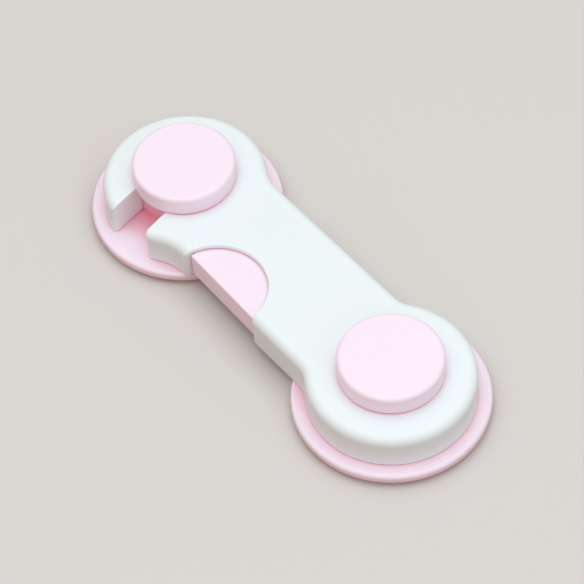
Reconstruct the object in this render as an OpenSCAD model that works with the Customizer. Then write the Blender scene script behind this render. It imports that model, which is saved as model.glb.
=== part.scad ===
// Cabinet safety lock: a hooked arm that swings on one stick-on base and latches on another.
// Origin: midway between the two posts, on the mounting surface. +X runs from the catch to the pivot.

/* [Layout] */
// Distance between the pivot axis and the catch axis
post_spacing = 65.4; // [60:0.2:80]

/* [Stick-on bases] */
// Diameter of each round base
base_d = 40; // [38:0.5:46]
// Thickness of a base disc
base_t = 1.95; // [1.8:0.05:3]
// Rounding of a base disc's top edge
base_edge_r = 0.8; // [0.4:0.1:1.3]
// Rounding of a base disc's lower edge
base_low_r = 0.3; // [0.2:0.1:0.4]
// Diameter of the foam pad under a base
pad_d = 37; // [30:0.5:38]
// Thickness of the foam pad
pad_t = 1.1; // [0.8:0.1:2]
// Diameter of the paper liner under the pad
liner_d = 37.6; // [30:0.2:38]
// Thickness of the paper liner
liner_t = 0.15; // [0.1:0.05:0.3]

/* [Posts] */
// Diameter of the round post that the arm turns on
pivot_post_d = 12; // [10:0.2:13]
// Width of the catch post across the hook slot
catch_post_w = 8.4; // [7.8:0.1:8.6]
// Distance from the catch axis to the flat front of the catch post
catch_front = 7.6; // [6.8:0.1:8.2]
// Slant of that flat front
catch_front_tilt = 12; // [0:1:16]

/* [Caps] */
// Diameter of a cap
cap_d = 21.4; // [18:0.2:24]
// Thickness of a cap
cap_t = 4.4; // [2.8:0.1:5]
// Rounding of a cap's top edge
cap_edge_r = 0.9; // [0.5:0.1:2]
// Rounding of a cap's lower edge
cap_lip_r = 0.3; // [0.2:0.1:0.6]
// Diameter of the stem under a cap
stem_d = 4.8; // [4.2:0.1:5]

/* [Arm] */
// Diameter of the arm's round ends
arm_end_d = 34.2; // [33:0.2:36]
// Width of the arm's waist
waist_w = 25.5; // [24:0.5:28]
// Thickness of the arm
arm_t = 7.8; // [7.4:0.1:9]
// Rounding of the arm's top edge
arm_edge_r = 2; // [1:0.1:2.4]
// Hollow radius where the waist meets the catch end
catch_blend_r = 10; // [5:0.5:12]
// Hollow radius where the waist meets the pivot end
pivot_blend_r = 6; // [5:0.5:12]
// Thickness of the arm's side wall
wall_t = 1.8; // [1.4:0.1:2.2]
// Thickness of the arm's top
roof_t = 1; // [0.8:0.1:1.4]
// Thickness of the back plate
plate_t = 1.2; // [1:0.1:1.4]
// Wall of the sleeve round the pivot post
sleeve_t = 2.1; // [1.6:0.1:2.6]

/* [Hook slot] */
// Width of the curved slot that hooks over the catch post
slot_w = 9; // [9:0.1:9.6]
// Thickness of the slot's side walls
slot_wall_t = 1.6; // [1.2:0.1:1.8]
// Rounding of the two corners of the slot's mouth
mouth_r = 0.9; // [0.4:0.1:1.4]

/* [Release lever] */
// Place of the half-moon button along the arm, from the middle
button_x = -5.8; // [-7:0.1:-4]
// Radius of the half-moon opening in the arm
button_r = 10.6; // [9.5:0.1:11]
// Distance of the half-moon's centre outside the arm's side
button_out = 0.55; // [0.2:0.05:1]
// Depth of the button's flat front behind the arm's side
button_recess = 1.15; // [0.8:0.05:1.4]
// Slant of that flat front, which stands further out at its free end
button_slant = 1.4; // [0:0.1:2]
// Height of the button's lower edge above the arm's underside
button_lift = 0.9; // [0.6:0.1:1.2]
// Depth of the deep front lip of the button
lip_t = 2.2; // [1.6:0.1:2.8]
// How far the button reaches under the arm's top, past its opening
under_roof = 1.8; // [1:0.1:2.4]
// Depth of the flat on the button's back, where the spring bears
pad_flat = 0.5; // [0.3:0.1:0.8]
// Rounding of the corners beside the button
button_corner_r = 1; // [0.4:0.1:1.4]
// Diameter of the pin that the lever turns on
lever_pin_d = 2; // [1.6:0.1:2.4]
// Place of the lever pin along the arm, from the catch axis
lever_pin_dx = 3.2; // [2.6:0.1:4]
// Place of the lever pin between the slot's wall and the end wall, as a share of that room
lever_pin_place = 0.553; // [0.5:0.001:0.58]
// Diameter of the eye round the lever pin, as a share of the same room
eye_share = 0.677; // [0.55:0.001:0.7]
// Height of the eye
eye_h = 4; // [3:0.1:4.2]
// Width of the lever's leg
leg_w = 4; // [3:0.1:5]
// Place of the latch nose across the arm, from the catch axis
nose_y = -4; // [-4.2:0.1:-3.9]
// Width of the latch nose
nose_w = 2.6; // [2:0.1:2.7]
// Height of the latch nose
nose_h = 3.6; // [2.5:0.1:4]
// How far the latch nose reaches into the catch post
nose_reach = 1.5; // [1:0.1:1.6]
// Depth of the notch in the catch post
notch_depth = 1.8; // [1.8:0.1:2]
// Angle that the lever turns when it is pressed
press_angle = 7.6; // [7.4:0.1:8]

/* [Return spring] */
// Mean diameter of the coil
spring_d = 4.2; // [3.8:0.1:4.4]
// Diameter of the wire
wire_d = 0.5; // [0.4:0.05:0.6]
// Number of turns
spring_turns = 9; // [6:1:11]
// Place of the spring along the arm, from the middle
spring_x = -4; // [-6:0.1:-2]
// Diameter of the two pips that hold the spring's ends
pip_d = 2.8; // [2:0.1:3]
// Length of the pips
pip_len = 1.6; // [1:0.1:2]

/* [Fasteners] */
// Shank diameter of the cap screws
cap_screw_d = 2.4; // [2:0.1:2.6]
// Head diameter of the cap screws
cap_head_d = 5; // [4.4:0.1:5.4]
// Head height of the cap screws
cap_head_t = 1.3; // [1:0.1:1.5]
// Length of the cap screws under the head
cap_screw_len = 7; // [6:0.1:8]
// Thickness of the web that a cap screw's head pulls against
screw_web = 1.5; // [1.2:0.1:2]
// Shank diameter of the back plate screws
plate_screw_d = 1.9; // [1.6:0.1:2.2]
// Head diameter of the back plate screws
plate_head_d = 3.8; // [3.4:0.1:4]
// Length of the back plate screws
plate_screw_len = 5.6; // [4.8:0.1:5.8]
// Place of a back plate screw between a post's wall and the end wall, as a share of that room
screw_place = 0.5; // [0.4:0.05:0.6]
// Plate left round the head of the screw beside the hook slot
screw_edge = 0.5; // [0.4:0.1:0.8]
// Bearing of the two screws at the pivot end, either side of the arm's line
pivot_screw_angle = 50; // [40:1:60]
// Bearing of the screw behind the catch
back_screw_angle = 150; // [140:1:165]
// Wall of the bosses that take the back plate screws
boss_t = 1.3; // [1:0.1:1.3]

/* [Clearances] */
// Air between the arm's underside and a base
deck_clear = 0.2; // [0.1:0.05:0.5]
// Air between the arm's top and a cap
cap_clear = 0.2; // [0.1:0.05:0.5]
// Radial air round the head of a cap screw
head_clear = 0.3; // [0.2:0.05:0.4]
// Radial air round the shank of a cap screw, below the stem
shank_clear = 0.2; // [0.1:0.05:0.3]
// Radial running clearance of the arm on its pivot post
pivot_clear = 0.06; // [0.02:0.01:0.1]
// Radial running clearance of the lever on its pin
pin_clear = 0.05; // [0.02:0.01:0.1]
// Clearance round a fixed fit, such as a stem, a pin's socket or a screw's hole
fit_clear = 0.03; // [0.02:0.01:0.06]
// Clearance between the back plate and the walls round it
plate_clear = 0.15; // [0.1:0.05:0.3]
// Clearance between the lever and what it moves past
lever_clear = 0.3; // [0.2:0.05:0.4]
// Air between the button and the edge of its opening
button_clear = 0.15; // [0.1:0.05:0.3]
// Air between the button and the arm's top
roof_clear = 0.2; // [0.15:0.05:0.4]
// Air at each end of the spring
spring_clear = 0.1; // [0.05:0.05:0.2]

/* [Hidden] */
$fn = 96;

PINK = [0.97, 0.78, 0.85];
WHITE = [0.96, 0.97, 0.98];
STEEL = [0.70, 0.71, 0.73];
FOAM = [0.93, 0.93, 0.91];
PAPER = [0.98, 0.97, 0.93];

// A cut runs this far past the face that it opens
over = 1;
// A wall or boss is rooted this far into what carries it
root = 0.3;
// Small roundings cross the walls they blend into by this much, so that no two walls only graze
bite = 0.01;
// Facets of the arm's outside: round an end's half, along a blend, and over the rounded edge
end_steps = 28;
blend_steps = 6;
edge_steps = 5;

// Heights, from the mounting surface up
z_base = liner_t + pad_t;
z_deck = z_base + base_t;
z_arm = z_deck + deck_clear;
z_top = z_arm + arm_t;
z_roof = z_top - roof_t;
z_plate = z_arm + plate_t;
z_cap = z_top + cap_clear;
z_lever = z_plate + lever_clear;
z_button = z_roof - roof_clear;
z_lip = z_arm + button_lift;

// The two axes
pivot = [post_spacing / 2, 0];
catch = [-post_spacing / 2, 0];

// Outline of the arm
end_r = arm_end_d / 2;
side_y = waist_w / 2;
inner_y = side_y - wall_t;

// The hook slot and the catch post are curved round the pivot axis
slot_ri = post_spacing - slot_w / 2;
slot_ro = post_spacing + slot_w / 2;
post_ri = post_spacing - catch_post_w / 2;
post_ro = post_spacing + catch_post_w / 2;
sleeve_r = pivot_post_d / 2 + pivot_clear + sleeve_t;
seat_back = slot_w / 2 + slot_wall_t;

// Caps and their screws
stem_hole_r = stem_d / 2 + fit_clear;
screw_floor = z_base + cap_head_t + fit_clear;
stem_floor = screw_floor + screw_web;

// Release lever
button_y = -side_y - button_out;
front_y = -side_y + button_recess;
shoulder_y = -inner_y + lever_clear;
pad_r = button_r + under_roof;
pad_back_y = button_y + pad_r - pad_flat;
eye_room = sqrt((end_r - wall_t) ^ 2 - lever_pin_dx ^ 2) - seat_back;
eye_d = eye_share * eye_room;
lever_axis = [catch.x + lever_pin_dx, seat_back + lever_pin_place * eye_room];
leg_x = arc_x(slot_ri - slot_wall_t, nose_y - nose_w) + lever_clear;
nose_tip_x = arc_x(post_ri, nose_y) - nose_reach;
leg_low_y = nose_y - nose_w / 2 - lever_clear;
// Bearings on the eye where the leg's inner and outer sides leave it
leg_in_angle = 245;
leg_out_angle = 50;
// The free end of the button's front, and how far the button goes in and sideways when it is pressed
free_end = front_end(button_r - button_clear);
press_travel = (button_x + pad_r - lever_axis.x) * sin(press_angle);
side_travel = (lever_axis.y - free_end.y) * sin(press_angle);

// Return spring, along Y between the button's back and the arm's far wall
spring_z = (z_lever + z_roof) / 2;
spring_len = inner_y - pad_back_y - 2 * spring_clear;
coil_steps = 8;
coil_sides = 6;
coil_rings = spring_turns * coil_steps;
coil_pitch = (spring_len - wire_d) / spring_turns;

// Back plate screws: two at the pivot end, one behind the catch, one beside the slot
pivot_ring = sleeve_r + screw_place * (end_r - wall_t - sleeve_r);
catch_ring = seat_back + screw_place * (end_r - wall_t - seat_back);
head_room = plate_clear + plate_head_d / 2 + screw_edge;
slot_screw_y = head_room - inner_y;
screw_places = [
    pivot + pivot_ring * heading(pivot_screw_angle),
    pivot + pivot_ring * heading(-pivot_screw_angle),
    catch + catch_ring * heading(back_screw_angle),
    [arc_x(slot_ri - slot_wall_t, slot_screw_y) + head_room, slot_screw_y]
];
boss_r = plate_screw_d / 2 + boss_t;

function unit(v) = v / norm(v);
function heading(angle) = [cos(angle), sin(angle)];
function reversed(list) = [for (i = [len(list) - 1:-1:0]) list[i]];

// x of the arc of radius r round the pivot axis, at height y on the catch side
function arc_x(r, y) = pivot.x - sqrt(r * r - y * y);

// Meeting point, on the -Y side, of circles round the pivot and the catch axes
function meet_x(rp, rc) = (post_spacing ^ 2 + rp ^ 2 - rc ^ 2) / (2 * post_spacing);
function meet(rp, rc) = [pivot.x - meet_x(rp, rc), -sqrt(rp ^ 2 - meet_x(rp, rc) ^ 2)];

// Where the button's flat front ends on a circle of radius r round the half-moon's centre
function front_end(r) =
    let (start = [-button_r, front_y - button_y], along = heading(-button_slant), lead = start * along)
    [button_x, button_y] + start + (sqrt(lead ^ 2 - start * start + r ^ 2) - lead) * along;

// Centre of the hollow blend between a round end and the waist: along the arm, and across it
function blend_dx(r) = sqrt((end_r + r) ^ 2 - (side_y + r) ^ 2);
function blend_dy(r) = side_y + r;

// Plan of the hook slot, let out by grow all round, open toward -Y
module slot_plan(grow) {
    intersection() {
        translate(pivot) difference() {
            circle(slot_ro + grow);
            circle(slot_ri - grow);
        }
        translate([catch.x - end_r, -2 * end_r]) square([2 * end_r, 2 * end_r]);
    }
    translate(catch) circle(slot_w / 2 + grow + bite);
}

// Section of a disc with a rounded top edge and a rounded lower edge
module disc_section(r, t, top_r, low_r) {
    translate([0, low_r]) square([r, t - top_r - low_r]);
    square([r - low_r, low_r]);
    translate([0, t - top_r]) square([r - top_r, top_r]);
    intersection() {
        translate([r - top_r, t - top_r]) circle(top_r);
        translate([0, t - top_r]) square([r, top_r]);
    }
    intersection() {
        translate([r - low_r, low_r]) circle(low_r);
        square([r, low_r]);
    }
}

// The arm's inside with upright sides, drawn in by inset: two round ends and a straight waist
module arm_inside(inset, z, h) {
    for (axis = [catch, pivot])
        translate([axis.x, axis.y, z]) cylinder(r = end_r - inset, h = h);
    translate([catch.x, inset - side_y, z]) cube([post_spacing, 2 * (side_y - inset), h]);
}

// Half of the arm's outline on the +Y side, from an end's tip to the waist, drawn in by inset
function half_end(blend_r, inset) =
    let (spread = atan2(blend_dy(blend_r), blend_dx(blend_r)))
    concat(
        [for (i = [0:end_steps])
            (end_r - inset) * heading(180 - (180 - spread) * i / end_steps)],
        [for (i = [1:blend_steps])
            [blend_dx(blend_r), blend_dy(blend_r)]
                - (blend_r + inset) * heading(spread + (90 - spread) * i / blend_steps)]
    );

// The +Y side from tip to tip, and then the whole loop, at one height
function arm_side(inset) = concat(
    [for (p = half_end(catch_blend_r, inset)) catch + p],
    [for (p = reversed(half_end(pivot_blend_r, inset))) pivot + [-p.x, p.y]]
);
function arm_loop(inset, z) =
    let (side = arm_side(inset), n = len(side))
    concat(
        [for (i = [0:n - 1]) [side[i].x, side[i].y, z]],
        [for (i = [n - 2:-1:1]) [side[i].x, -side[i].y, z]]
    );

// Outside form of the arm, solid: one loft from the underside up and over the rounded top edge
module arm_form() {
    n = len(arm_side(0));
    loop = 2 * n - 2;
    loops = concat(
        arm_loop(0, z_arm),
        [for (k = [0:edge_steps])
            let (turn = 90 * k / edge_steps)
                each arm_loop(arm_edge_r * (1 - cos(turn)), z_top - arm_edge_r * (1 - sin(turn)))]
    );
    top = loop * (edge_steps + 1);
    walls = [
        for (k = [0:edge_steps], i = [0:loop - 1])
            let (a = k * loop + i, b = k * loop + (i + 1) % loop)
                each [[a, b, b + loop], [a, b + loop, a + loop]]
    ];
    caps = [
        for (i = [0:n - 2])
            let (c = (loop - i) % loop, d = loop - i - 1)
                each concat(
                    i > 0 ? [[i, c, d], [top + i, top + d, top + c]] : [],
                    i < n - 2 ? [[i, d, i + 1], [top + i, top + i + 1, top + d]] : []
                )
    ];
    polyhedron(loops, concat(walls, caps));
}

// Cutter that rounds an upright corner: at is the rounding's centre, a and b point at its two walls
module corner_cut(at, a, b, r) {
    first = 2 * r * (cross(a, b) > 0 ? a : b);
    second = 2 * r * (cross(a, b) > 0 ? b : a);
    translate([0, 0, z_arm - over]) linear_extrude(arm_t + 2 * over) difference() {
        polygon([at, at + first, at + first + second, at + second]);
        translate(at) circle(r);
    }
}

// Rounded corners of the slot's mouth
module mouth_corner_cuts() {
    inside = mouth_r - bite;
    finger = meet(slot_ri - inside, end_r - inside);
    tail = meet(slot_ro + inside, end_r - inside);
    corner_cut(finger, unit(finger - catch), unit(finger - pivot), mouth_r);
    corner_cut(tail, unit(tail - catch), unit(pivot - tail), mouth_r);
}

// Rounded corners where the half-moon opening breaks through the arm's side
module button_corner_cuts() {
    centre = [button_x, button_y];
    inside = button_corner_r - bite;
    dy = button_out + inside;
    dx = sqrt((button_r + inside) ^ 2 - dy ^ 2);
    for (side = [-1, 1]) {
        at = centre + [side * dx, dy];
        corner_cut(at, [0, -1], unit(centre - at), button_corner_r);
    }
}

// Relief inside the arm's side wall, along the way that the free end of the button's front goes in
module button_relief() {
    way = unit([lever_axis.y - free_end.y, free_end.x - lever_axis.x]);
    start = free_end + lever_clear * [way.y, -way.x] - root * way;
    end = start + (over - inner_y - start.y) / way.y * way;
    translate([0, 0, z_arm - over]) linear_extrude(z_roof - z_arm + over)
        polygon([start, end, [start.x - over, end.y], [start.x - over, start.y]]);
}

// Round base disc with rounded edges
module base_disc(axis) {
    translate([axis.x, axis.y, z_base]) rotate_extrude()
        disc_section(base_d / 2, base_t, base_edge_r, base_low_r);
}

// Bores up the middle of a post: the screw head's recess, the shank's hole and the stem's socket
module post_bores(axis) {
    translate([axis.x, axis.y, z_base - over])
        cylinder(r = cap_head_d / 2 + head_clear, h = over + screw_floor - z_base);
    translate([axis.x, axis.y, z_base]) cylinder(r = cap_screw_d / 2 + shank_clear, h = z_cap);
    translate([axis.x, axis.y, stem_floor]) cylinder(r = stem_hole_r, h = z_cap);
}

module pivot_base() {
    color(PINK) difference() {
        union() {
            base_disc(pivot);
            translate([pivot.x, pivot.y, z_base]) cylinder(d = pivot_post_d, h = z_cap - z_base);
        }
        post_bores(pivot);
    }
}

module catch_base() {
    color(PINK) difference() {
        union() {
            base_disc(catch);
            translate([0, 0, z_base]) linear_extrude(z_cap - z_base) catch_post_plan();
        }
        post_bores(catch);
        latch_notch();
    }
}

// Plan of the catch post: round behind, curved flanks, and a slanted flat front
module catch_post_plan() {
    translate(catch) circle(d = catch_post_w);
    intersection() {
        translate(pivot) difference() {
            circle(post_ro);
            circle(post_ri);
        }
        translate([catch.x - slot_w, -2 * catch_front]) square([2 * slot_w, 2 * catch_front]);
        translate(catch) rotate(catch_front_tilt) translate([-slot_w, -catch_front])
            square([2 * slot_w, 3 * catch_front]);
    }
}

// Notch in the flank of the catch post, where the latch nose lies
module latch_notch() {
    notch_x = arc_x(post_ri, nose_y) - notch_depth;
    notch_w = nose_w + 2 * lever_clear;
    translate([notch_x, nose_y - notch_w / 2, z_arm])
        cube([notch_depth + over, notch_w, nose_h + z_lever - z_arm + lever_clear]);
}

module cap(axis) {
    color(PINK) difference() {
        union() {
            translate([axis.x, axis.y, z_cap]) rotate_extrude()
                disc_section(cap_d / 2, cap_t, cap_edge_r, cap_lip_r);
            translate([axis.x, axis.y, stem_floor]) cylinder(d = stem_d, h = z_cap - stem_floor + root);
        }
        translate([axis.x, axis.y, stem_floor - over])
            cylinder(r = cap_screw_d / 2 + fit_clear, h = over + cap_screw_len);
    }
}

module pivot_cap() {
    cap(pivot);
}

module catch_cap() {
    cap(catch);
}

// Cross-shaped recess in a screw's head
module cross_recess(size, depth) {
    for (turn = [0, 90])
        rotate(turn) translate([-size / 2, -size / 8, -over]) cube([size, size / 4, depth + over]);
}

// Self-tapping screw that comes up through a base into the cap's stem
module cap_screw(axis) {
    color(STEEL) translate([axis.x, axis.y, z_base]) difference() {
        union() {
            cylinder(d = cap_head_d, h = cap_head_t);
            cylinder(d = cap_screw_d, h = cap_head_t + cap_screw_len);
        }
        cross_recess(cap_head_d / 2, cap_head_t / 2);
    }
}

module pivot_cap_screw() {
    cap_screw(pivot);
}

module catch_cap_screw() {
    cap_screw(catch);
}

module foam_pad(axis) {
    color(FOAM) translate([axis.x, axis.y, liner_t]) cylinder(d = pad_d, h = pad_t);
}

module pivot_foam_pad() {
    foam_pad(pivot);
}

module catch_foam_pad() {
    foam_pad(catch);
}

module release_liner(axis) {
    color(PAPER) translate([axis.x, axis.y, 0]) cylinder(d = liner_d, h = liner_t);
}

module pivot_release_liner() {
    release_liner(pivot);
}

module catch_release_liner() {
    release_liner(catch);
}

// White shell of the arm: open below, with the slot's walls, the sleeve and the bosses inside
module arm_shell() {
    color(WHITE) difference() {
        union() {
            difference() {
                arm_form();
                arm_inside(wall_t, z_arm - over, z_roof - z_arm + over);
            }
            intersection() {
                translate([0, 0, z_arm]) linear_extrude(z_roof - z_arm + root) slot_plan(slot_wall_t);
                arm_inside(wall_t / 2, z_arm - over, arm_t);
            }
            translate([pivot.x, pivot.y, z_arm]) cylinder(r = sleeve_r, h = z_roof - z_arm + root);
            for (place = screw_places)
                translate([place.x, place.y, z_plate]) cylinder(r = boss_r, h = z_roof - z_plate + root);
            translate([lever_axis.x, lever_axis.y, z_lever + eye_h + lever_clear])
                cylinder(d = eye_d, h = z_roof - z_lever - eye_h - lever_clear + root);
            translate([spring_x, inner_y + root, spring_z]) rotate([90, 0, 0])
                cylinder(d = pip_d, h = pip_len + root);
        }
        translate([0, 0, z_arm - over]) linear_extrude(arm_t + 2 * over) slot_plan(0);
        mouth_corner_cuts();
        translate([button_x, button_y, z_arm - over]) cylinder(r = button_r, h = arm_t + 2 * over);
        button_corner_cuts();
        button_relief();
        translate([pivot.x, pivot.y, z_arm - over])
            cylinder(r = pivot_post_d / 2 + pivot_clear, h = arm_t + 2 * over);
        for (place = screw_places)
            translate([place.x, place.y, z_plate - over])
                cylinder(r = plate_screw_d / 2 + fit_clear, h = over + plate_screw_len - plate_t + root);
        translate([lever_axis.x, lever_axis.y, z_plate])
            cylinder(r = lever_pin_d / 2 + fit_clear, h = z_roof + root - z_plate);
        nose_window();
    }
}

// Opening in the slot's wall that the latch nose comes through, open below for assembly
module nose_window() {
    low = nose_y - nose_w / 2 - lever_clear;
    high = nose_y + nose_w / 2 + lever_clear + leg_w * sin(press_angle);
    translate([nose_tip_x, low, z_arm - over])
        cube([leg_x - nose_tip_x + root, high - low, z_lever + nose_h + lever_clear - z_arm + over]);
}

// White plate that closes the arm's underside, let in between the walls and screwed to the bosses
module arm_back_plate() {
    notch_y = front_y + lip_t + press_travel + lever_clear;
    notch_x = button_x - button_r - lever_clear;
    notch_end = button_x + button_r + side_travel + lever_clear;
    color(WHITE) difference() {
        arm_inside(wall_t + plate_clear, z_arm, plate_t);
        translate([0, 0, z_arm - over]) linear_extrude(plate_t + 2 * over) {
            slot_plan(slot_wall_t + plate_clear);
            translate(pivot) circle(sleeve_r + plate_clear);
            translate([notch_x, -end_r]) square([notch_end - notch_x, end_r + notch_y]);
        }
        for (place = screw_places)
            translate([place.x, place.y, z_arm]) screw_solid(fit_clear);
        translate([lever_axis.x, lever_axis.y, z_arm + plate_t / 2])
            cylinder(r = lever_pin_d / 2 + fit_clear, h = plate_t);
    }
}

// Countersunk screw, pointing up; grow makes its hole
module screw_solid(grow) {
    head_t = (plate_head_d - plate_screw_d) / 2;
    cylinder(r = plate_screw_d / 2 + grow, h = plate_screw_len);
    translate([0, 0, -grow])
        cylinder(r1 = plate_head_d / 2 + grow, r2 = plate_screw_d / 2 + grow, h = head_t);
}

module back_plate_screws() {
    color(STEEL) for (place = screw_places)
        translate([place.x, place.y, z_arm]) difference() {
            screw_solid(0);
            cross_recess(plate_head_d / 2, plate_screw_d / 4);
        }
}

// Pink bell-crank inside the arm: an eye on the pin, the latch nose, and the half-moon button
module release_lever() {
    color(PINK) difference() {
        union() {
            translate([lever_axis.x, lever_axis.y, z_lever]) cylinder(d = eye_d, h = eye_h);
            translate([0, 0, z_lever]) linear_extrude(eye_h) leg_plan();
            translate([0, 0, z_lever]) linear_extrude(nose_h) nose_plan();
            translate([0, 0, z_lever]) linear_extrude(z_button - z_lever) button_plan();
            translate([0, 0, z_lip]) linear_extrude(z_button - z_lip) button_front(lip_t);
            translate([spring_x, pad_back_y - root, spring_z]) rotate([-90, 0, 0])
                cylinder(d = pip_d, h = pip_len + root);
        }
        translate([lever_axis.x, lever_axis.y, z_lever - over])
            cylinder(r = lever_pin_d / 2 + pin_clear, h = eye_h + 2 * over);
    }
}

// Leg of the lever, from the eye past the slot's wall and along to the button
module leg_plan() {
    eye_r = eye_d / 2 - root;
    polygon([
        lever_axis + eye_r * heading(leg_in_angle),
        [leg_x, seat_back - lever_clear],
        [leg_x, leg_low_y],
        [button_x - button_r / 2, leg_low_y],
        [button_x - button_r / 2, pad_back_y],
        [leg_x + leg_w, pad_back_y + leg_w / 2],
        [leg_x + leg_w, seat_back],
        lever_axis + eye_r * heading(leg_out_angle)
    ]);
}

// Latch nose: square on its holding side, sloped where the catch post pushes it aside
module nose_plan() {
    polygon([
        [leg_x + root, nose_y + nose_w / 2],
        [nose_tip_x, nose_y + nose_w / 2],
        [nose_tip_x, nose_y],
        [nose_tip_x + nose_w / 2, nose_y - nose_w / 2],
        [leg_x + root, nose_y - nose_w / 2]
    ]);
}

// Plan of the half-moon button: shoulders that stop it inside the arm's side wall, and its front
module button_plan() {
    intersection() {
        translate([button_x, button_y]) circle(pad_r);
        translate([button_x - pad_r, shoulder_y]) square([2 * pad_r, pad_back_y - shoulder_y]);
    }
    button_front(pad_back_y - front_y);
}

// Plan of the part of the button that stands in the opening, from its flat front back by depth
module button_front(depth) {
    intersection() {
        translate([button_x, button_y]) circle(button_r - button_clear);
        translate([button_x - button_r, front_y]) rotate(-button_slant) square([2 * button_r, depth]);
    }
}

module lever_pin() {
    foot = z_arm + plate_t / 2 + fit_clear;
    color(STEEL) translate([lever_axis.x, lever_axis.y, foot])
        cylinder(d = lever_pin_d, h = z_roof - foot);
}

// Helix of the return spring: a tube with six sides that follows ring centres round the coil
function coil_turn(i) = 360 * i / coil_steps;
function coil_centre(i) = [
    spring_d / 2 * cos(coil_turn(i)),
    spring_d / 2 * sin(coil_turn(i)),
    wire_d / 2 + coil_pitch * i / coil_steps
];
function coil_point(i, k) = coil_centre(i) + wire_d / 2 * (
    cos(360 * k / coil_sides) * [cos(coil_turn(i)), sin(coil_turn(i)), 0] +
    sin(360 * k / coil_sides) * [0, 0, 1]
);

// Least gap of the wire to itself, from ring centres at least half a turn apart
coil_gap = min([
    for (i = [0:coil_rings - coil_steps / 2])
        for (j = [i + coil_steps / 2:coil_rings])
            norm(coil_centre(i) - coil_centre(j)) - wire_d
]);
echo(return_spring_least_gap_mm = coil_gap);

module return_spring() {
    points = [for (i = [0:coil_rings]) for (k = [0:coil_sides - 1]) coil_point(i, k)];
    side_faces = [
        for (i = [0:coil_rings - 1]) for (k = [0:coil_sides - 1])
            let (a = i * coil_sides + k, b = i * coil_sides + (k + 1) % coil_sides)
                each [[a, b, b + coil_sides], [a, b + coil_sides, a + coil_sides]]
    ];
    last = coil_rings * coil_sides;
    end_faces = [
        for (k = [1:coil_sides - 2])
            each [[0, k + 1, k], [last, last + k, last + k + 1]]
    ];
    color(STEEL) translate([spring_x, pad_back_y + spring_clear, spring_z]) rotate([-90, 0, 0])
        polyhedron(points, concat(side_faces, end_faces));
}

pivot_base();
pivot_cap();
pivot_cap_screw();
pivot_foam_pad();
pivot_release_liner();
catch_base();
catch_cap();
catch_cap_screw();
catch_foam_pad();
catch_release_liner();
arm_shell();
arm_back_plate();
back_plate_screws();
release_lever();
lever_pin();
return_spring();
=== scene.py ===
# %% [markdown]
# # A cabinet safety lock, dressed for its portrait
# The lock is a white dumbbell arm on two pink stick-on bases. The arm swings on one base and hooks over a post
# on the other, and a half-moon button lets it go. Its solids come packed from the CAD source. They could all
# be modelled again here, but then sizes and joints would drift apart, so this lesson loads them as a fixed
# frame. A piece whose solid is already right only gets a finish. A piece that needs finer curves, softer
# edges or a springy form is modelled here and stands in for its solid.

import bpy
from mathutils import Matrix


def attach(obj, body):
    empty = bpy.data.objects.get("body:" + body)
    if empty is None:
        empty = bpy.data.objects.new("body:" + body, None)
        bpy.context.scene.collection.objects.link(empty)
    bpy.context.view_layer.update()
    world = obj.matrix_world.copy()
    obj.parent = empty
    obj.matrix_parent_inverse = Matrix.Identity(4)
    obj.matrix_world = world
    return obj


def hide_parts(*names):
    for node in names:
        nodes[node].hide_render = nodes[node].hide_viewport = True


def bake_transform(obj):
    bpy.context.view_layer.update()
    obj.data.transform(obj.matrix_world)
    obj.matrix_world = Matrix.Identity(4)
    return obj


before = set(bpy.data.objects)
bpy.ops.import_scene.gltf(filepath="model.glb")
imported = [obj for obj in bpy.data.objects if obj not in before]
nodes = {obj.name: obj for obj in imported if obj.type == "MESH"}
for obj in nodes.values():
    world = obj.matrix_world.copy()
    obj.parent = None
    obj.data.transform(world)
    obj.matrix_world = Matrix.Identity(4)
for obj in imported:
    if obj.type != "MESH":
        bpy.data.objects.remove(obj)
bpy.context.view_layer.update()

# %% [markdown]
# ## Camera
# The photograph looks down on the lock from its front right, through a long lens. A camera could be placed by
# eye and nudged until it fits, but a round base seen at a slant gives its direction away exactly. So the
# bearing, height, roll and distance below were fitted to the outlines of the bases and caps, and the focal
# length, found in pixels of the picture, becomes millimetres on a 36 mm sensor.

# %% Camera from the fitted view
import math

import bpy
from mathutils import Matrix, Vector

MM = 0.001
PICTURE = 584
SENSOR = 36.0
FOCAL_PIXELS = 2824.553
VIEW_BEARING, VIEW_HEIGHT, VIEW_ROLL = (math.radians(a) for a in (53.535, 52.789, -3.615))
VIEW_DISTANCE = 577.743
VIEW_TARGET = Vector((-1.528, 2.503, 0.0))
NEAREST, FARTHEST = 0.01, 20.0

back = Vector((
    math.sin(VIEW_BEARING) * math.cos(VIEW_HEIGHT),
    -math.cos(VIEW_BEARING) * math.cos(VIEW_HEIGHT),
    math.sin(VIEW_HEIGHT),
))
level_right = Vector((math.cos(VIEW_BEARING), math.sin(VIEW_BEARING), 0))
level_up = back.cross(level_right)
right = math.cos(VIEW_ROLL) * level_right + math.sin(VIEW_ROLL) * level_up
up = math.cos(VIEW_ROLL) * level_up - math.sin(VIEW_ROLL) * level_right

lens = bpy.data.cameras.new("portrait_lens")
lens.sensor_width = SENSOR
lens.lens = FOCAL_PIXELS * SENSOR / PICTURE
lens.clip_start, lens.clip_end = NEAREST, FARTHEST
camera = bpy.data.objects.new("portrait_camera", lens)
bpy.context.scene.collection.objects.link(camera)
turn = Matrix((right, up, back)).transposed().to_4x4()
camera.matrix_world = Matrix.Translation((VIEW_TARGET + VIEW_DISTANCE * back) * MM) @ turn
bpy.context.scene.camera = camera
print("lens %.1f mm at %.0f mm" % (lens.lens, VIEW_DISTANCE))

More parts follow.
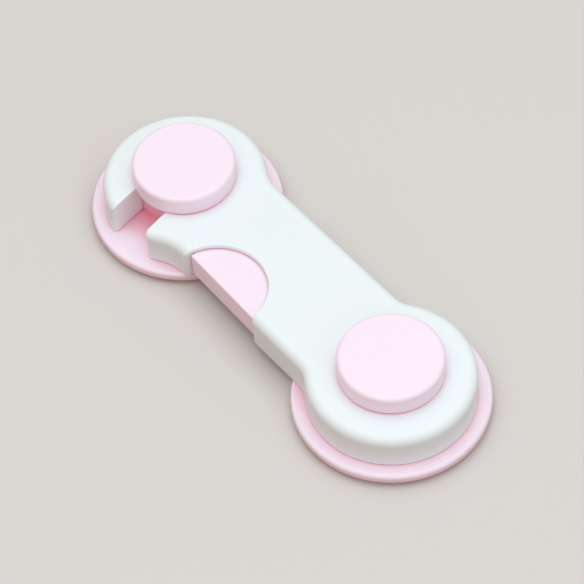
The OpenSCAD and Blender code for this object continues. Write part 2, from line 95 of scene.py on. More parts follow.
# %% [markdown]
# ## Floor
# The lock lies on a plain pale table. One flat colour would do for the table itself, but a wide pale floor
# throws so much white light up that every shaded side washes out, while a lock on a table has warm, slightly
# dark sides. So the floor has two tones. Rays from the camera, and rays by way of gloss or glass, meet the
# pale one, with the lock's shadow on it. Light that bounces on toward the lock meets the deeper, warm one.

# %% Floor with two tones
FLOOR_SPREAD = 3.0
FLOOR_COLOUR = (0.70, 0.68, 0.66, 1)
FLOOR_BOUNCE = (0.36, 0.21, 0.15, 1)
FLOOR_ROUGHNESS = 0.85


def shader(name):
    """A new material with its node tree and its main shader."""
    material = bpy.data.materials.new(name)
    material.use_nodes = True
    tree = material.node_tree
    return material, tree, tree.nodes["Principled BSDF"]


def add_ramp(tree, source, low, high, start=0.3, end=0.7):
    """A colour ramp from low to high while the source runs from start to end."""
    ramp = tree.nodes.new("ShaderNodeValToRGB")
    for stop, place, colour in zip(ramp.color_ramp.elements, (start, end), (low, high)):
        stop.position = place
        stop.color = colour
    tree.links.new(source, ramp.inputs["Fac"])
    return ramp.outputs["Color"]


def backdrop_tone(tree, lighting, seen):
    """The seen colour for rays that look at the backdrop, the lighting colour for all others."""
    path = tree.nodes.new("ShaderNodeLightPath")
    looking = path.outputs["Is Camera Ray"]
    for kind in ("Is Glossy Ray", "Is Transmission Ray"):
        either = tree.nodes.new("ShaderNodeMath")
        either.operation = "MAXIMUM"
        tree.links.new(looking, either.inputs[0])
        tree.links.new(path.outputs[kind], either.inputs[1])
        looking = either.outputs["Value"]
    return add_ramp(tree, looking, lighting, seen, 0.0, 1.0)


half = FLOOR_SPREAD / 2
corners = [(-half, -half, 0), (half, -half, 0), (half, half, 0), (-half, half, 0)]
floor_mesh = bpy.data.meshes.new("floor")
floor_mesh.from_pydata(corners, [], [(0, 1, 2, 3)])
floor = bpy.data.objects.new("floor", floor_mesh)
bpy.context.scene.collection.objects.link(floor)
pale_floor, floor_tree, floor_shader = shader("pale_floor")
floor_tone = backdrop_tone(floor_tree, FLOOR_BOUNCE, FLOOR_COLOUR)
floor_tree.links.new(floor_tone, floor_shader.inputs["Base Color"])
floor_shader.inputs["Roughness"].default_value = FLOOR_ROUGHNESS
floor_mesh.materials.append(pale_floor)
print("floor: %.1f m wide" % FLOOR_SPREAD)

# %% [markdown]
# ## Light
# Small pale plastics are photographed in soft light from all round, so that edges show as slow gradients. One
# strong lamp would cut hard shadows into the slot, and a bare white sky would leave no shape at all. Here a
# faint, warm dome fills the hollows, a large cool softbox overhead gives the tops their brightness, and two
# weak ones lift the front and the right-hand sides. Together they add up to about one on an upward face, so
# a colour renders about as it is written and no pale surface clips to white.

# %% Dome and softboxes
DOME_LIGHT = (0.58, 0.51, 0.493, 1)


def softbox(name, place, size, watts, colour):
    """A square area lamp at place, turned toward the middle of the lock."""
    lamp = bpy.data.lights.new(name, "AREA")
    lamp.shape = "SQUARE"
    lamp.size = size
    lamp.energy = watts
    lamp.color = colour
    holder = bpy.data.objects.new(name, lamp)
    holder.location = place
    holder.rotation_euler = (-Vector(place)).to_track_quat("-Z", "Y").to_euler()
    bpy.context.scene.collection.objects.link(holder)


world = bpy.data.worlds.new("studio")
world.use_nodes = True
sky = world.node_tree.nodes["Background"]
dome_tone = backdrop_tone(world.node_tree, DOME_LIGHT, FLOOR_COLOUR)
world.node_tree.links.new(dome_tone, sky.inputs["Color"])
bpy.context.scene.world = world
bpy.context.scene.view_settings.view_transform = "Standard"
softbox("overhead_softbox", (0.0, 0.0, 0.66), size=0.80, watts=2.65, colour=(0.86, 0.99, 1.0))
softbox("front_softbox", (0.26, -0.36, 0.56), size=0.50, watts=0.3, colour=(1.0, 0.80, 0.80))
softbox("side_softbox", (0.55, 0.05, 0.30), size=0.50, watts=0.4, colour=(0.6, 0.95, 1.0))

# %% [markdown]
# ## Moulded plastic
# Arm, bases, caps and button are moulded plastic with a satin skin. A flat colour would look like paint,
# because real resin drifts a little in tone, its shine varies with the polish of the mould, and a very fine
# orange peel breaks up reflections. Image textures could show that, but they need unwrapping and blur close
# up. Three noise textures in object space give it at any scale, and some light travels under the skin.

# %% Pink and white plastic
RESIN_IOR = 1.49
SKIN_DEPTH = 2.0 * MM
PEEL_DEPTH, PEEL_STRENGTH = 0.02 * MM, 0.22
DRIFT_SCALE, SHINE_SCALE, PEEL_SCALE = 60, 240, 1900


def add_noise(tree, scale, detail, roughness=0.5):
    """A noise texture in object space."""
    place = tree.nodes.new("ShaderNodeTexCoord")
    noise = tree.nodes.new("ShaderNodeTexNoise")
    noise.inputs["Scale"].default_value = scale
    noise.inputs["Detail"].default_value = detail
    noise.inputs["Roughness"].default_value = roughness
    tree.links.new(place.outputs["Object"], noise.inputs["Vector"])
    return noise.outputs["Fac"]


def add_range(tree, source, low, high, start=0.0, end=1.0):
    """A value that runs from low to high while the source runs from start to end."""
    span = tree.nodes.new("ShaderNodeMapRange")
    for socket, value in (("From Min", start), ("From Max", end), ("To Min", low), ("To Max", high)):
        span.inputs[socket].default_value = value
    tree.links.new(source, span.inputs["Value"])
    return span.outputs["Result"]


def add_bump(tree, source, main, depth, strength):
    """Height from the source as a bump on the main shader; depth is in metres."""
    bump = tree.nodes.new("ShaderNodeBump")
    bump.inputs["Strength"].default_value = strength
    bump.inputs["Distance"].default_value = depth
    tree.links.new(source, bump.inputs["Height"])
    tree.links.new(bump.outputs["Normal"], main.inputs["Normal"])


def moulded_plastic(name, light, deep, shine, under_skin, glow):
    """Satin moulding: tone drifts from deep to light, and shine is its lowest and highest roughness."""
    material, tree, main = shader(name)
    drift = add_ramp(tree, add_noise(tree, DRIFT_SCALE, detail=3), deep, light)
    polish_drift = add_range(tree, add_noise(tree, SHINE_SCALE, detail=4), *shine)
    tree.links.new(drift, main.inputs["Base Color"])
    tree.links.new(polish_drift, main.inputs["Roughness"])
    add_bump(tree, add_noise(tree, PEEL_SCALE, detail=2), main, PEEL_DEPTH, PEEL_STRENGTH)
    main.inputs["IOR"].default_value = RESIN_IOR
    main.inputs["Subsurface Weight"].default_value = glow
    main.inputs["Subsurface Radius"].default_value = under_skin
    main.inputs["Subsurface Scale"].default_value = SKIN_DEPTH
    return material


PINK = {
    "light": (0.99, 0.836, 0.964, 1), "deep": (0.983, 0.826, 0.954, 1),
    "shine": (0.30, 0.42), "under_skin": (1.0, 0.25, 0.40), "glow": 0.25,
}
WHITE = {
    "light": (0.86, 0.944, 0.97, 1), "deep": (0.845, 0.93, 0.955, 1),
    "shine": (0.32, 0.44), "under_skin": (1.0, 0.85, 0.80), "glow": 0.15,
}
pink_plastic = moulded_plastic("pink_plastic", **PINK)
white_plastic = moulded_plastic("white_plastic", **WHITE)
print("plastics:", pink_plastic.name, white_plastic.name)

# %% [markdown]
# ## Painted shade and bounce light in the nooks
# Where pink faces pink, in the slot, under the caps' rims and round the button, light runs to and fro through
# the plastic and comes out a much deeper pink. It also spills a faint pink on the white plastic close by.
# True volume scattering could show this, but it is slow and noisy, and an exported model loses it. So this light
# and shade is painted into the colour: an Ambient Occlusion node tells how shut in a point is, and each plastic
# blends into a painted pinker tone there, from whichever side it is seen, deeper shade on the pink and a pink
# bounce on the white.

# %% Painted pinker shade and pink bounce where the plastic is shut in
# Painted colours: a deeper pink painted as shade in the pink plastic's nooks, and a pink tint painted on the
# white as bounce light from the pink.
PINK_PAINTED_NOOK_SHADE, PINK_REACH = (0.985, 0.34, 0.44, 1), 9.0 * MM
WHITE_PAINTED_PINK_BOUNCE, WHITE_REACH = (0.985, 0.80, 0.86, 1), 5.0 * MM
NOOK_SHUT, NOOK_OPEN = 0.15, 0.70


def paint_nook_shade_and_bounce(material, colour, reach):
    """Paints shade and bounce light into a plastic's colour: blends it into the painted colour where less than
    NOOK_OPEN of the view within reach is open.
    """
    tree = material.node_tree
    base_colour = tree.nodes["Principled BSDF"].inputs["Base Color"]
    plain = base_colour.links[0].from_socket
    nook = tree.nodes.new("ShaderNodeAmbientOcclusion")
    nook.inputs["Distance"].default_value = reach
    openness = add_range(tree, nook.outputs["AO"], 0.0, 1.0, NOOK_SHUT, NOOK_OPEN)
    painted_nook_mix = tree.nodes.new("ShaderNodeMix")
    painted_nook_mix.data_type = "RGBA"
    tree.links.new(openness, painted_nook_mix.inputs["Factor"])
    painted_nook_mix.inputs["A"].default_value = colour
    tree.links.new(plain, painted_nook_mix.inputs["B"])
    tree.links.new(painted_nook_mix.outputs["Result"], base_colour)


# Paints nook shade and pink bounce light into both plastics' colour.
paint_nook_shade_and_bounce(pink_plastic, PINK_PAINTED_NOOK_SHADE, PINK_REACH)
paint_nook_shade_and_bounce(white_plastic, WHITE_PAINTED_PINK_BOUNCE, WHITE_REACH)
print("nooks reach %.0f mm on pink, %.0f mm on white" % (PINK_REACH / MM, WHITE_REACH / MM))

# %% [markdown]
# ## Plated steel
# Screws, pin and spring are small steel parts with a thin zinc plating. A mirror-smooth metal would sparkle
# like jewellery, and a grey plastic would look dead. Plating is a metal whose tone, polish and surface all
# break up in the same fine grain, so one noise texture drives all three.

# %% Steel for screws, pin and spring
DULL_ZINC, BRIGHT_ZINC = (0.48, 0.49, 0.51, 1), (0.66, 0.67, 0.69, 1)
ZINC_SHINE = (0.22, 0.42)
GRAIN_DEPTH, GRAIN_STRENGTH = 0.01 * MM, 0.2

steel, steel_tree, steel_shader = shader("plated_steel")
grain = add_noise(steel_tree, scale=900, detail=5, roughness=0.65)
plating = add_ramp(steel_tree, grain, DULL_ZINC, BRIGHT_ZINC)
steel_tree.links.new(plating, steel_shader.inputs["Base Color"])
steel_tree.links.new(add_range(steel_tree, grain, *ZINC_SHINE), steel_shader.inputs["Roughness"])
add_bump(steel_tree, grain, steel_shader, GRAIN_DEPTH, GRAIN_STRENGTH)
steel_shader.inputs["Metallic"].default_value = 1.0
print("metal:", steel.name)

# %% [markdown]
# ## Foam tape
# Under each base is a pad of closed-cell foam tape. Noise would make it look like felt, because foam is packed
# with small round bubbles. A Voronoi texture is made of such cells, so its distance to the cell's middle
# gives both the paler walls and the dimples.

# %% Foam with round cells
CELL_SCALE = 3200
CELL_MIDDLE, CELL_WALL = (0.72, 0.71, 0.68, 1), (0.86, 0.85, 0.82, 1)
WALL_FROM, WALL_TO = 0.1, 0.6
CELL_DEPTH, CELL_STRENGTH = 0.08 * MM, 0.5
FOAM_ROUGHNESS = 0.95

foam, foam_tree, foam_shader = shader("foam_tape")
place = foam_tree.nodes.new("ShaderNodeTexCoord")
bubbles = foam_tree.nodes.new("ShaderNodeTexVoronoi")
bubbles.inputs["Scale"].default_value = CELL_SCALE
foam_tree.links.new(place.outputs["Object"], bubbles.inputs["Vector"])
cells = bubbles.outputs["Distance"]
tone = add_ramp(foam_tree, cells, CELL_MIDDLE, CELL_WALL, WALL_FROM, WALL_TO)
foam_tree.links.new(tone, foam_shader.inputs["Base Color"])
add_bump(foam_tree, cells, foam_shader, CELL_DEPTH, CELL_STRENGTH)
foam_shader.inputs["Roughness"].default_value = FOAM_ROUGHNESS
print("foam:", foam.name)

# %% [markdown]
# ## Waxed paper
# A paper liner still covers the glue of each pad. Paper could be a flat off-white, but release paper shows
# cloudy fibres and a slight waxy shine that follows them. A noise with many octaves gives the clouds, and the
# same noise sets the shine and a shallow relief.

# %% Release paper
DARK_FIBRE, PALE_FIBRE = (0.80, 0.78, 0.71, 1), (0.90, 0.885, 0.83, 1)
WAX_SHINE = (0.42, 0.60)
FIBRE_DEPTH, FIBRE_STRENGTH = 0.03 * MM, 0.3

paper, paper_tree, paper_shader = shader("waxed_paper")
fibres = add_noise(paper_tree, scale=700, detail=8, roughness=0.7)
clouds = add_ramp(paper_tree, fibres, DARK_FIBRE, PALE_FIBRE)
paper_tree.links.new(clouds, paper_shader.inputs["Base Color"])
paper_tree.links.new(add_range(paper_tree, fibres, *WAX_SHINE), paper_shader.inputs["Roughness"])
add_bump(paper_tree, fibres, paper_shader, FIBRE_DEPTH, FIBRE_STRENGTH)
print("paper:", paper.name)

# %% [markdown]
# ## Bases, caps and small steel parts
# The bases and caps are turned forms with rounded rims, the back plate is a flat cover, the liners are discs
# of paper, and the screws and pin are plain turned steel. They could be spun again from profiles in Blender,
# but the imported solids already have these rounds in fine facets, so they stay and only get their finishes.

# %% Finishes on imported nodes


def finish_node(name, material):
    """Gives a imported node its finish, with its shape as it is."""
    mesh = nodes[name].data
    mesh.materials.clear()
    mesh.materials.append(material)


for end in ("pivot", "catch"):
    finish_node(end + "_base", pink_plastic)
    finish_node(end + "_cap", pink_plastic)
    finish_node(end + "_cap_screw", steel)
    finish_node(end + "_release_liner", paper)
finish_node("arm_back_plate", white_plastic)
finish_node("back_plate_screws", steel)
finish_node("lever_pin", steel)
print("kept as packed: bases, caps, screws, pin, plate and liners")

# %% [markdown]
# ## The arm's outline
# Seen from above, the arm is a dumbbell: two round ends, a narrower waist, and hollow blends between them,
# wider at the catch than at the pivot. A Bezier curve could be bent to that outline by hand. It is made of
# plain arcs, though, so it is written as a function of how far it is drawn in, and one function then gives
# the upright side and every ring of the rounded top edge. All lengths of the arm are in millimetres.

# %% Outline as a function
PIVOT, CATCH = Vector((32.7, 0)), Vector((-32.7, 0))
END_R, SIDE_Y = 17.1, 12.75
BLEND_R = {"catch": 10.0, "pivot": 6.0}
END_STEPS, BLEND_STEPS = 56, 14


def heading(degrees):
    """Unit vector on the plan at that bearing."""
    return Vector((math.cos(math.radians(degrees)), math.sin(math.radians(degrees))))


def bearing(direction):
    """Bearing of a plan vector in degrees."""
    return math.degrees(math.atan2(direction.y, direction.x))


def arc(centre, radius, start, end, steps):
    """Points on the plan along an arc, both ends included."""
    return [centre + radius * heading(start + (end - start) * i / steps) for i in range(steps + 1)]


def half_end(blend_r, inset):
    """From an end's tip to the waist on the +Y side, the end's axis at 0 and the waist toward +X."""
    blend_x = math.sqrt((END_R + blend_r) ** 2 - (SIDE_Y + blend_r) ** 2)
    blend_middle = Vector((blend_x, SIDE_Y + blend_r))
    spread = bearing(blend_middle)
    round_part = arc(Vector((0, 0)), END_R - inset, 180, spread, END_STEPS)
    hollow_part = arc(blend_middle, blend_r + inset, spread + 180, 270, BLEND_STEPS)
    return round_part + hollow_part[1:]


def arm_outline(inset):
    """The whole outline as one loop, drawn in by inset."""
    near = [CATCH + p for p in half_end(BLEND_R["catch"], inset)]
    far = [PIVOT + Vector((-p.x, p.y)) for p in reversed(half_end(BLEND_R["pivot"], inset))]
    side = near + far
    return side + [Vector((p.x, -p.y)) for p in reversed(side[1:-1])]


print("arm outline points:", len(arm_outline(0)))

# %% [markdown]
# ## The arm's outside
# The moulding has upright sides and a generous round all along its top edge. Extruding the outline and adding
# a bevel modifier would be quick, but a bevel over hollow blends bunches up where the outline turns. A loft
# through rings of the outline, each drawn in a little further, gives the same round everywhere.

# %% Loft of the outside
import bmesh

ARM_LOW, ARM_HIGH, EDGE_R = 3.4, 11.2, 2.0
EDGE_STEPS = 10


def loft(name, loops):
    """A closed solid through loops of points, each a list of (x, y, z) with the same count."""
    form = bmesh.new()
    rows = [[form.verts.new(p) for p in loop] for loop in loops]
    count = len(loops[0])
    for low, high in zip(rows, rows[1:]):
        for i in range(count):
            j = (i + 1) % count
            form.faces.new((low[i], low[j], high[j], high[i]))
    form.faces.new(list(reversed(rows[0])))
    form.faces.new(rows[-1])
    bmesh.ops.recalc_face_normals(form, faces=form.faces[:])
    mesh = bpy.data.meshes.new(name)
    form.to_mesh(mesh)
    form.free()
    piece = bpy.data.objects.new(name, mesh)
    bpy.context.scene.collection.objects.link(piece)
    return piece


def at_height(plan, z):
    """A plan's points at one height."""
    return [(p.x, p.y, z) for p in plan]


arm_rings = [at_height(arm_outline(0), ARM_LOW)]
for k in range(EDGE_STEPS + 1):
    turned = heading(90 * k / EDGE_STEPS)
    drawn_in = EDGE_R * (1 - turned.x)
    arm_rings.append(at_height(arm_outline(drawn_in), ARM_HIGH - EDGE_R * (1 - turned.y)))
arm = loft("arm_moulding", arm_rings)
print("arm rings:", len(arm_rings))

# %% [markdown]
# ## Cutters with a soft rim
# Two openings break out of the arm's side: the hook slot and the half-moon. Their top edges are softly broken,
# as on any moulding. Beveling them after the cut is fragile, because the cut leaves long thin faces. It is
# safer to flare the cutter itself near the arm's top, so that the cut comes out with its round already on.

# %% Flared cutter
PAST = 1.0
FLARE_STEPS = 4
OUTSIDE_Y = -30.0


def flared_cutter(name, plan, corner_r, soften):
    """A cutter on plan(grow, corner radius), upright below and flared to a soft edge at the arm's top."""
    levels = [(ARM_LOW - PAST, 0.0)]
    for k in range(FLARE_STEPS + 1):
        turned = heading(90 * k / FLARE_STEPS)
        levels.append((ARM_HIGH - soften * (1 - turned.y), soften * (1 - turned.x)))
    levels.append((ARM_HIGH + PAST, soften))
    return loft(name, [at_height(plan(grow, corner_r - grow), z) for z, grow in levels])


print("steps in a cutter's flare:", FLARE_STEPS)

# %% [markdown]
# ## The hook slot
# The slot takes the catch post as the arm swings shut, so its two walls are arcs round the pivot and its end
# is a half round about the post. It could be a straight groove, which would look alike, but the post would
# rub on it. At the mouth each wall turns outward in a small round: that is where two circles, one round each
# axis, meet.

# %% Cutter for the slot
SLOT_W, MOUTH_R, SLOT_RIM = 9.0, 0.9, 0.22
SPACING = (PIVOT - CATCH).length
SLOT_NEAR, SLOT_FAR = SPACING - SLOT_W / 2, SPACING + SLOT_W / 2
MOUTH_STEPS, WALL_STEPS, SEAT_STEPS = 10, 24, 40


def meeting(pivot_r, catch_r):
    """Where circles round the two axes meet, on the -Y side."""
    along = (SPACING ** 2 + pivot_r ** 2 - catch_r ** 2) / (2 * SPACING)
    return Vector((PIVOT.x - along, -math.sqrt(pivot_r ** 2 - along ** 2)))


def slot_plan(grow, mouth_r):
    """The slot's loop, let out by grow, with its mouth turned outward by mouth_r."""
    finger = meeting(SLOT_NEAR - MOUTH_R, END_R - MOUTH_R)
    tail = meeting(SLOT_FAR + MOUTH_R, END_R - MOUTH_R)
    finger_wall, tail_wall = bearing(finger - PIVOT), bearing(tail - PIVOT)
    finger_turn = arc(finger, mouth_r, bearing(finger - CATCH), finger_wall, MOUTH_STEPS)
    tail_turn = arc(tail, mouth_r, tail_wall + 180, bearing(tail - CATCH), MOUTH_STEPS)
    near_wall = arc(PIVOT, SLOT_NEAR - grow, finger_wall + 360, 180, WALL_STEPS)
    far_wall = arc(PIVOT, SLOT_FAR + grow, 180, tail_wall + 360, WALL_STEPS)
    seat = arc(CATCH, SLOT_W / 2 + grow, 0, 180, SEAT_STEPS)
    loop = [Vector((finger_turn[0].x, OUTSIDE_Y))] + finger_turn + near_wall[1:]
    loop += seat[1:-1] + far_wall + tail_turn[1:]
    return loop + [Vector((tail_turn[-1].x, OUTSIDE_Y))]


slot_cutter = flared_cutter("slot_cutter", slot_plan, MOUTH_R, SLOT_RIM)
print("slot loop points:", len(slot_plan(0, MOUTH_R)))

# %% [markdown]
# ## The half-moon
# The half-moon opening is where a finger presses the button in under the arm's top. A plain cylinder could cut
# it, but the two horns where it breaks out of the side would be knife-sharp. Each horn is rounded on the
# plan, and the rest of the loop is one arc.

# %% Cutter for the half-moon
MOON = Vector((-5.8, -13.3))
MOON_R, HORN_R, MOON_RIM = 10.6, 1.0, 0.35
HORN_STEPS, MOON_STEPS = 8, 72


def moon_plan(grow, horn_r):
    """The half-moon's loop, let out by grow, with rounded horns where it breaks out of the side."""
    rise = -SIDE_Y + HORN_R - MOON.y
    reach = math.sqrt((MOON_R + HORN_R) ** 2 - rise ** 2)
    left_horn, right_horn = MOON + Vector((-reach, rise)), MOON + Vector((reach, rise))
    lean = bearing(left_horn - MOON)
    loop = [Vector((left_horn.x, OUTSIDE_Y))] + arc(left_horn, horn_r, -90, lean - 180, HORN_STEPS)
    loop += arc(MOON, MOON_R + grow, lean, 180 - lean, MOON_STEPS)[1:-1]
    loop += arc(right_horn, horn_r, 360 - lean, 270, HORN_STEPS)
    return loop + [Vector((right_horn.x, OUTSIDE_Y))]


moon_cutter = flared_cutter("moon_cutter", moon_plan, HORN_R, MOON_RIM)
print("half-moon loop points:", len(moon_plan(0, HORN_R)))

# %% [markdown]
# ## The hollow
# Below its roof the arm is hollow: two round rooms joined by the waist. A solidify modifier could make a shell
# in one step, but it also thickens the slot's walls and rounds inside corners that a mould leaves crisp. So
# the room is built as a solid of its own, to be carved out of the arm later. It is written in millimetres,
# which keeps exact booleans well away from rounding errors.

# %% Room under the roof
WALL, ROOF = 1.8, 10.2
INNER_R, INNER_Y = END_R - WALL, SIDE_Y - WALL
ROUND_STEPS = 96


def prism(name, plan, low, high):
    """An upright solid on a plan."""
    return loft(name, [at_height(plan, z) for z in (low, high)])


def rod(name, centre, radius, low, high, steps=ROUND_STEPS):
    """An upright round solid."""
    return prism(name, arc(centre, radius, 0, 360, steps)[:-1], low, high)


def corner_plan(*corners):
    """A plan with straight sides."""
    return [Vector(corner) for corner in corners]


def apply_modifiers(piece):
    """Replaces a piece's mesh by what its modifiers make of it."""
    bpy.context.view_layer.update()
    graph = bpy.context.evaluated_depsgraph_get()
    made = bpy.data.meshes.new_from_object(piece.evaluated_get(graph))
    piece.modifiers.clear()
    piece.data = made


def carve(piece, others, way):
    """One exact boolean for each other piece, way being DIFFERENCE or UNION; the others are used up."""
    for other in others:
        step = piece.modifiers.new("carve", "BOOLEAN")
        step.operation = way
        step.solver = "EXACT"
        step.object = other
        apply_modifiers(piece)
        bpy.data.objects.remove(other)


hollow = rod("hollow", CATCH, INNER_R, ARM_LOW - PAST, ROOF)
waist_plan = corner_plan((CATCH.x, -INNER_Y), (PIVOT.x, -INNER_Y), (PIVOT.x, INNER_Y), (CATCH.x, INNER_Y))
pivot_room = rod("pivot_room", PIVOT, INNER_R, ARM_LOW - PAST, ROOF)
waist_room = prism("waist_room", waist_plan, ARM_LOW - PAST, ROOF)
carve(hollow, [pivot_room, waist_room], "UNION")
print("room faces:", len(hollow.data.polygons))

# %% [markdown]
# ## What stands in the hollow
# Inside the arm stand the slot's walls, the sleeve that turns on the pivot post, four screw bosses, the stop
# over the lever's eye and the pip that holds the spring's end. They could be joined to the arm after it is
# hollowed, but flush faces joined that way leave seams. Taking them out of the room instead leaves them
# standing in the arm as one moulding.

# %% Walls, sleeve, bosses, stop and pip
SLOT_WALL, WALL_RUN = 1.6, 20
SLEEVE_R, BOSS_R, PLATE_TOP = 8.16, 2.25, 4.6
SCREWS = corner_plan((40.24, 8.986), (40.24, -8.986), (-41.966, 5.35), (-23.44, -8.4))
LEVER_AXIS, EYE_R, STOP_LOW = Vector((-29.5, 11.0)), 3.0, 9.2
SPRING_X, SPRING_Z, PIP_R, PIP_LEN = -4.0, 7.55, 1.4, 1.6
BOSS_STEPS, EYE_STEPS, PIP_STEPS = 40, 48, 32


def lying_rod(name, start, radius, length, steps):
    """A round solid along +Y from start."""
    ring = [radius * heading(360 * i / steps) for i in range(steps)]
    ends = (start.y, start.y + length)
    return loft(name, [[(start.x + p.x, y, start.z + p.y) for p in ring] for y in ends])


wall_plan = arc(PIVOT, SLOT_NEAR - SLOT_WALL, 180 + WALL_RUN, 180, WALL_STEPS)
wall_plan += arc(CATCH, SLOT_W / 2 + SLOT_WALL, 0, 180, SEAT_STEPS)[1:-1]
wall_plan += arc(PIVOT, SLOT_FAR + SLOT_WALL, 180, 180 + WALL_RUN, WALL_STEPS)
standing = [rod("sleeve", PIVOT, SLEEVE_R, ARM_LOW - 2 * PAST, ROOF + PAST)]
for screw in SCREWS:
    standing.append(rod("boss", screw, BOSS_R, PLATE_TOP, ROOF + PAST, BOSS_STEPS))
standing.append(rod("eye_stop", LEVER_AXIS, EYE_R, STOP_LOW, ROOF + PAST, EYE_STEPS))
pip_start = Vector((SPRING_X, INNER_Y - PIP_LEN, SPRING_Z))
standing.append(lying_rod("far_pip", pip_start, PIP_R, PIP_LEN + PAST, PIP_STEPS))
standing.append(prism("slot_walls", wall_plan, ARM_LOW - 2 * PAST, ROOF + PAST))
print("pieces left standing:", len(standing))
carve(hollow, standing, "DIFFERENCE")

# %% [markdown]
# ## The finished arm
# The last cutters are the bore for the pivot post, the screw holes, the window for the latch nose and a relief
# that lets the button's free end swing in past the side wall. Everything is then carved from the outside form
# in turn. One big joined cutter would need a single boolean, but where cutters overlap it can go wrong
# unnoticed. Smooth shading up to an angle, with normals weighted by area, keeps flat faces flat to the eye.

# %% Bores, window, relief and carving
PIVOT_BORE_R, SCREW_HOLE_R, SCREW_TOP = 6.06, 0.98, 9.3
HOLE_STEPS = 32
NOSE_X0, NOSE_X1, NOSE_Y0, NOSE_Y1, NOSE_TOP = -29.88, -25.55, -5.6, -1.87, 8.8
WINDOW = corner_plan((NOSE_X0, NOSE_Y0), (NOSE_X1, NOSE_Y0), (NOSE_X1, NOSE_Y1), (NOSE_X0, NOSE_Y1))
RELIEF = corner_plan((4.66, -12.53), (6.41, -9.95), (3.66, -9.95), (3.66, -12.53))
SHARP_ANGLE = 32


def to_metres(piece):
    """Scales a piece that was written in millimetres."""
    piece.data.transform(Matrix.Scale(MM, 4))


def polish(piece, smooth_angle, material, stands_for):
    """Smooth shading up to an angle, the finish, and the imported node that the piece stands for."""
    mesh = piece.data
    mesh.polygons.foreach_set("use_smooth", [True] * len(mesh.polygons))
    mesh.set_sharp_from_angle(angle=math.radians(smooth_angle))
    weigh = piece.modifiers.new("weighted_normals", "WEIGHTED_NORMAL")
    weigh.keep_sharp = True
    apply_modifiers(piece)
    piece.data.materials.clear()
    piece.data.materials.append(material)
    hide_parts(stands_for)
    print(piece.name, "faces:", len(piece.data.polygons))


cutters = [hollow, slot_cutter, moon_cutter]
cutters.append(rod("pivot_bore", PIVOT, PIVOT_BORE_R, ARM_LOW - PAST, ARM_HIGH + PAST))
for screw in SCREWS:
    cutters.append(rod("screw_hole", screw, SCREW_HOLE_R, ARM_LOW, SCREW_TOP, HOLE_STEPS))
cutters.append(prism("button_relief", RELIEF, ARM_LOW - PAST, ROOF))
cutters.append(prism("nose_window", WINDOW, ARM_LOW - PAST, NOSE_TOP))
carve(arm, cutters, "DIFFERENCE")
to_metres(arm)
polish(arm, SHARP_ANGLE, white_plastic, "arm_shell")
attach(arm, "arm")

# %% [markdown]
# ## Foam pads
# Each base sticks on with a disc of foam tape. A plain cylinder would be too perfect: cut foam bellies out
# between the base and the paper, and the cutter leaves its side slightly uneven. A cloth simulation could
# press it, but a pad one millimetre thick hardly moves, so its rings are written with that belly and with a
# small ripple from two waves that never line up.

# %% Foam pads under the bases
PAD_LOW, PAD_HIGH, PAD_R = 0.15, 1.25, 18.4
PAD_BELLY, PAD_RIPPLE = 0.16, 0.05
LONG_WAVES, SHORT_WAVES, SHORT_SHARE, SHORT_SHIFT = 7, 17, 0.6, 40
PAD_STEPS, PAD_LEVELS = 180, 8
PAD_SMOOTH, PAD_FILL = 40, 0.9


def foam_pad(name, centre):
    """A thin disc with a bellied, slightly uneven side."""
    rings = []
    for k in range(PAD_LEVELS + 1):
        share = k / PAD_LEVELS
        swell = math.sin(math.pi * share)
        ring = []
        for i in range(PAD_STEPS):
            angle = 360 * i / PAD_STEPS
            short_wave = heading(SHORT_WAVES * angle + SHORT_SHIFT).y
            ripple = heading(LONG_WAVES * angle).y + SHORT_SHARE * short_wave
            ring.append(centre + (PAD_R + swell * (PAD_BELLY + PAD_RIPPLE * ripple)) * heading(angle))
        rings.append(at_height(ring, PAD_LOW + share * (PAD_HIGH - PAD_LOW)))
    return loft(name, rings)


for end, centre in (("pivot", PIVOT), ("catch", CATCH)):
    pad = foam_pad(end + "_foam_disc", centre)
    to_metres(pad)
    polish(pad, PAD_SMOOTH, foam, end + "_foam_pad")
    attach(pad, "bases")

# %% [markdown]
# ## Release button
# The half-moon that a finger presses is one end of a flat lever inside the arm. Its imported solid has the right
# form, and rebuilding it would only risk the fit, but its flat front is where a finger feels the edge, and a
# real moulding breaks that edge. So a copy of the mesh is cleaned of the flat triangles that packing leaves,
# and only the edges round its front face are bevelled.

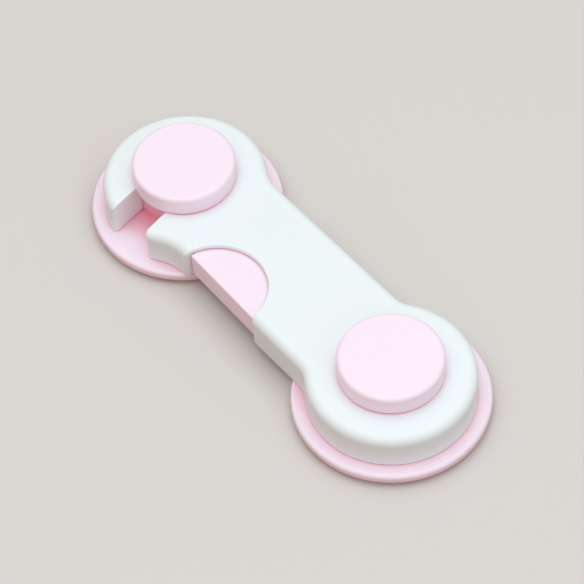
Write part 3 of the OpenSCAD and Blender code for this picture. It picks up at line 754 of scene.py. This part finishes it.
# %% The lever with its softened front
BREAK, BREAK_STEPS, ROUND_PROFILE = 0.28 * MM, 4, 0.5
SAME_PLACE = 0.001 * MM
FLAT_ANGLE = 1
FACING_OUT = -0.99

lever = bpy.data.objects.new("release_button", nodes["release_lever"].data.copy())
bpy.context.scene.collection.objects.link(lever)
form = bmesh.new()
form.from_mesh(lever.data)
bmesh.ops.remove_doubles(form, verts=form.verts[:], dist=SAME_PLACE)
bmesh.ops.dissolve_limit(
    form, angle_limit=math.radians(FLAT_ANGLE), verts=form.verts[:], edges=form.edges[:])
front = max((f for f in form.faces if f.normal.y < FACING_OUT), key=lambda f: f.calc_area())
rim = list(front.edges)
bmesh.ops.bevel(
    form, geom=rim, offset=BREAK, segments=BREAK_STEPS, profile=ROUND_PROFILE, affect="EDGES")
form.to_mesh(lever.data)
form.free()
print("front edges softened:", len(rim))
polish(lever, SHARP_ANGLE, pink_plastic, "release_lever")
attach(lever, "lever")

# %% [markdown]
# ## Return spring
# Behind the button a small coil spring pushes it back out. A curve with a round bevel could draw the wire, but
# the spring has to shorten and bend as the button swings in, and that works on a mesh. So the wire is lofted
# along a helix as a mesh.

# %% The spring
SPRING_R, WIRE_R, SPRING_TURNS = 2.1, 0.25, 9
SPRING_Y0, SPRING_Y1 = -1.3, 10.85
RINGS_PER_TURN, WIRE_SIDES = 24, 10
WIRE_SMOOTH = 60

ring_count = SPRING_TURNS * RINGS_PER_TURN
climb = (SPRING_Y1 - SPRING_Y0 - 2 * WIRE_R) / ring_count
wire = []
for i in range(ring_count + 1):
    around = heading(360 * i / RINGS_PER_TURN)
    outward = Vector((around.x, 0, around.y))
    middle = Vector((SPRING_X, SPRING_Y0 + WIRE_R + climb * i, SPRING_Z)) + SPRING_R * outward
    sides = [WIRE_R * heading(360 * k / WIRE_SIDES) for k in range(WIRE_SIDES)]
    wire.append([middle + p.x * outward + Vector((0, p.y, 0)) for p in sides])
spring = loft("return_coil", wire)
to_metres(spring)
polish(spring, WIRE_SMOOTH, steel, "return_spring")
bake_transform(spring)
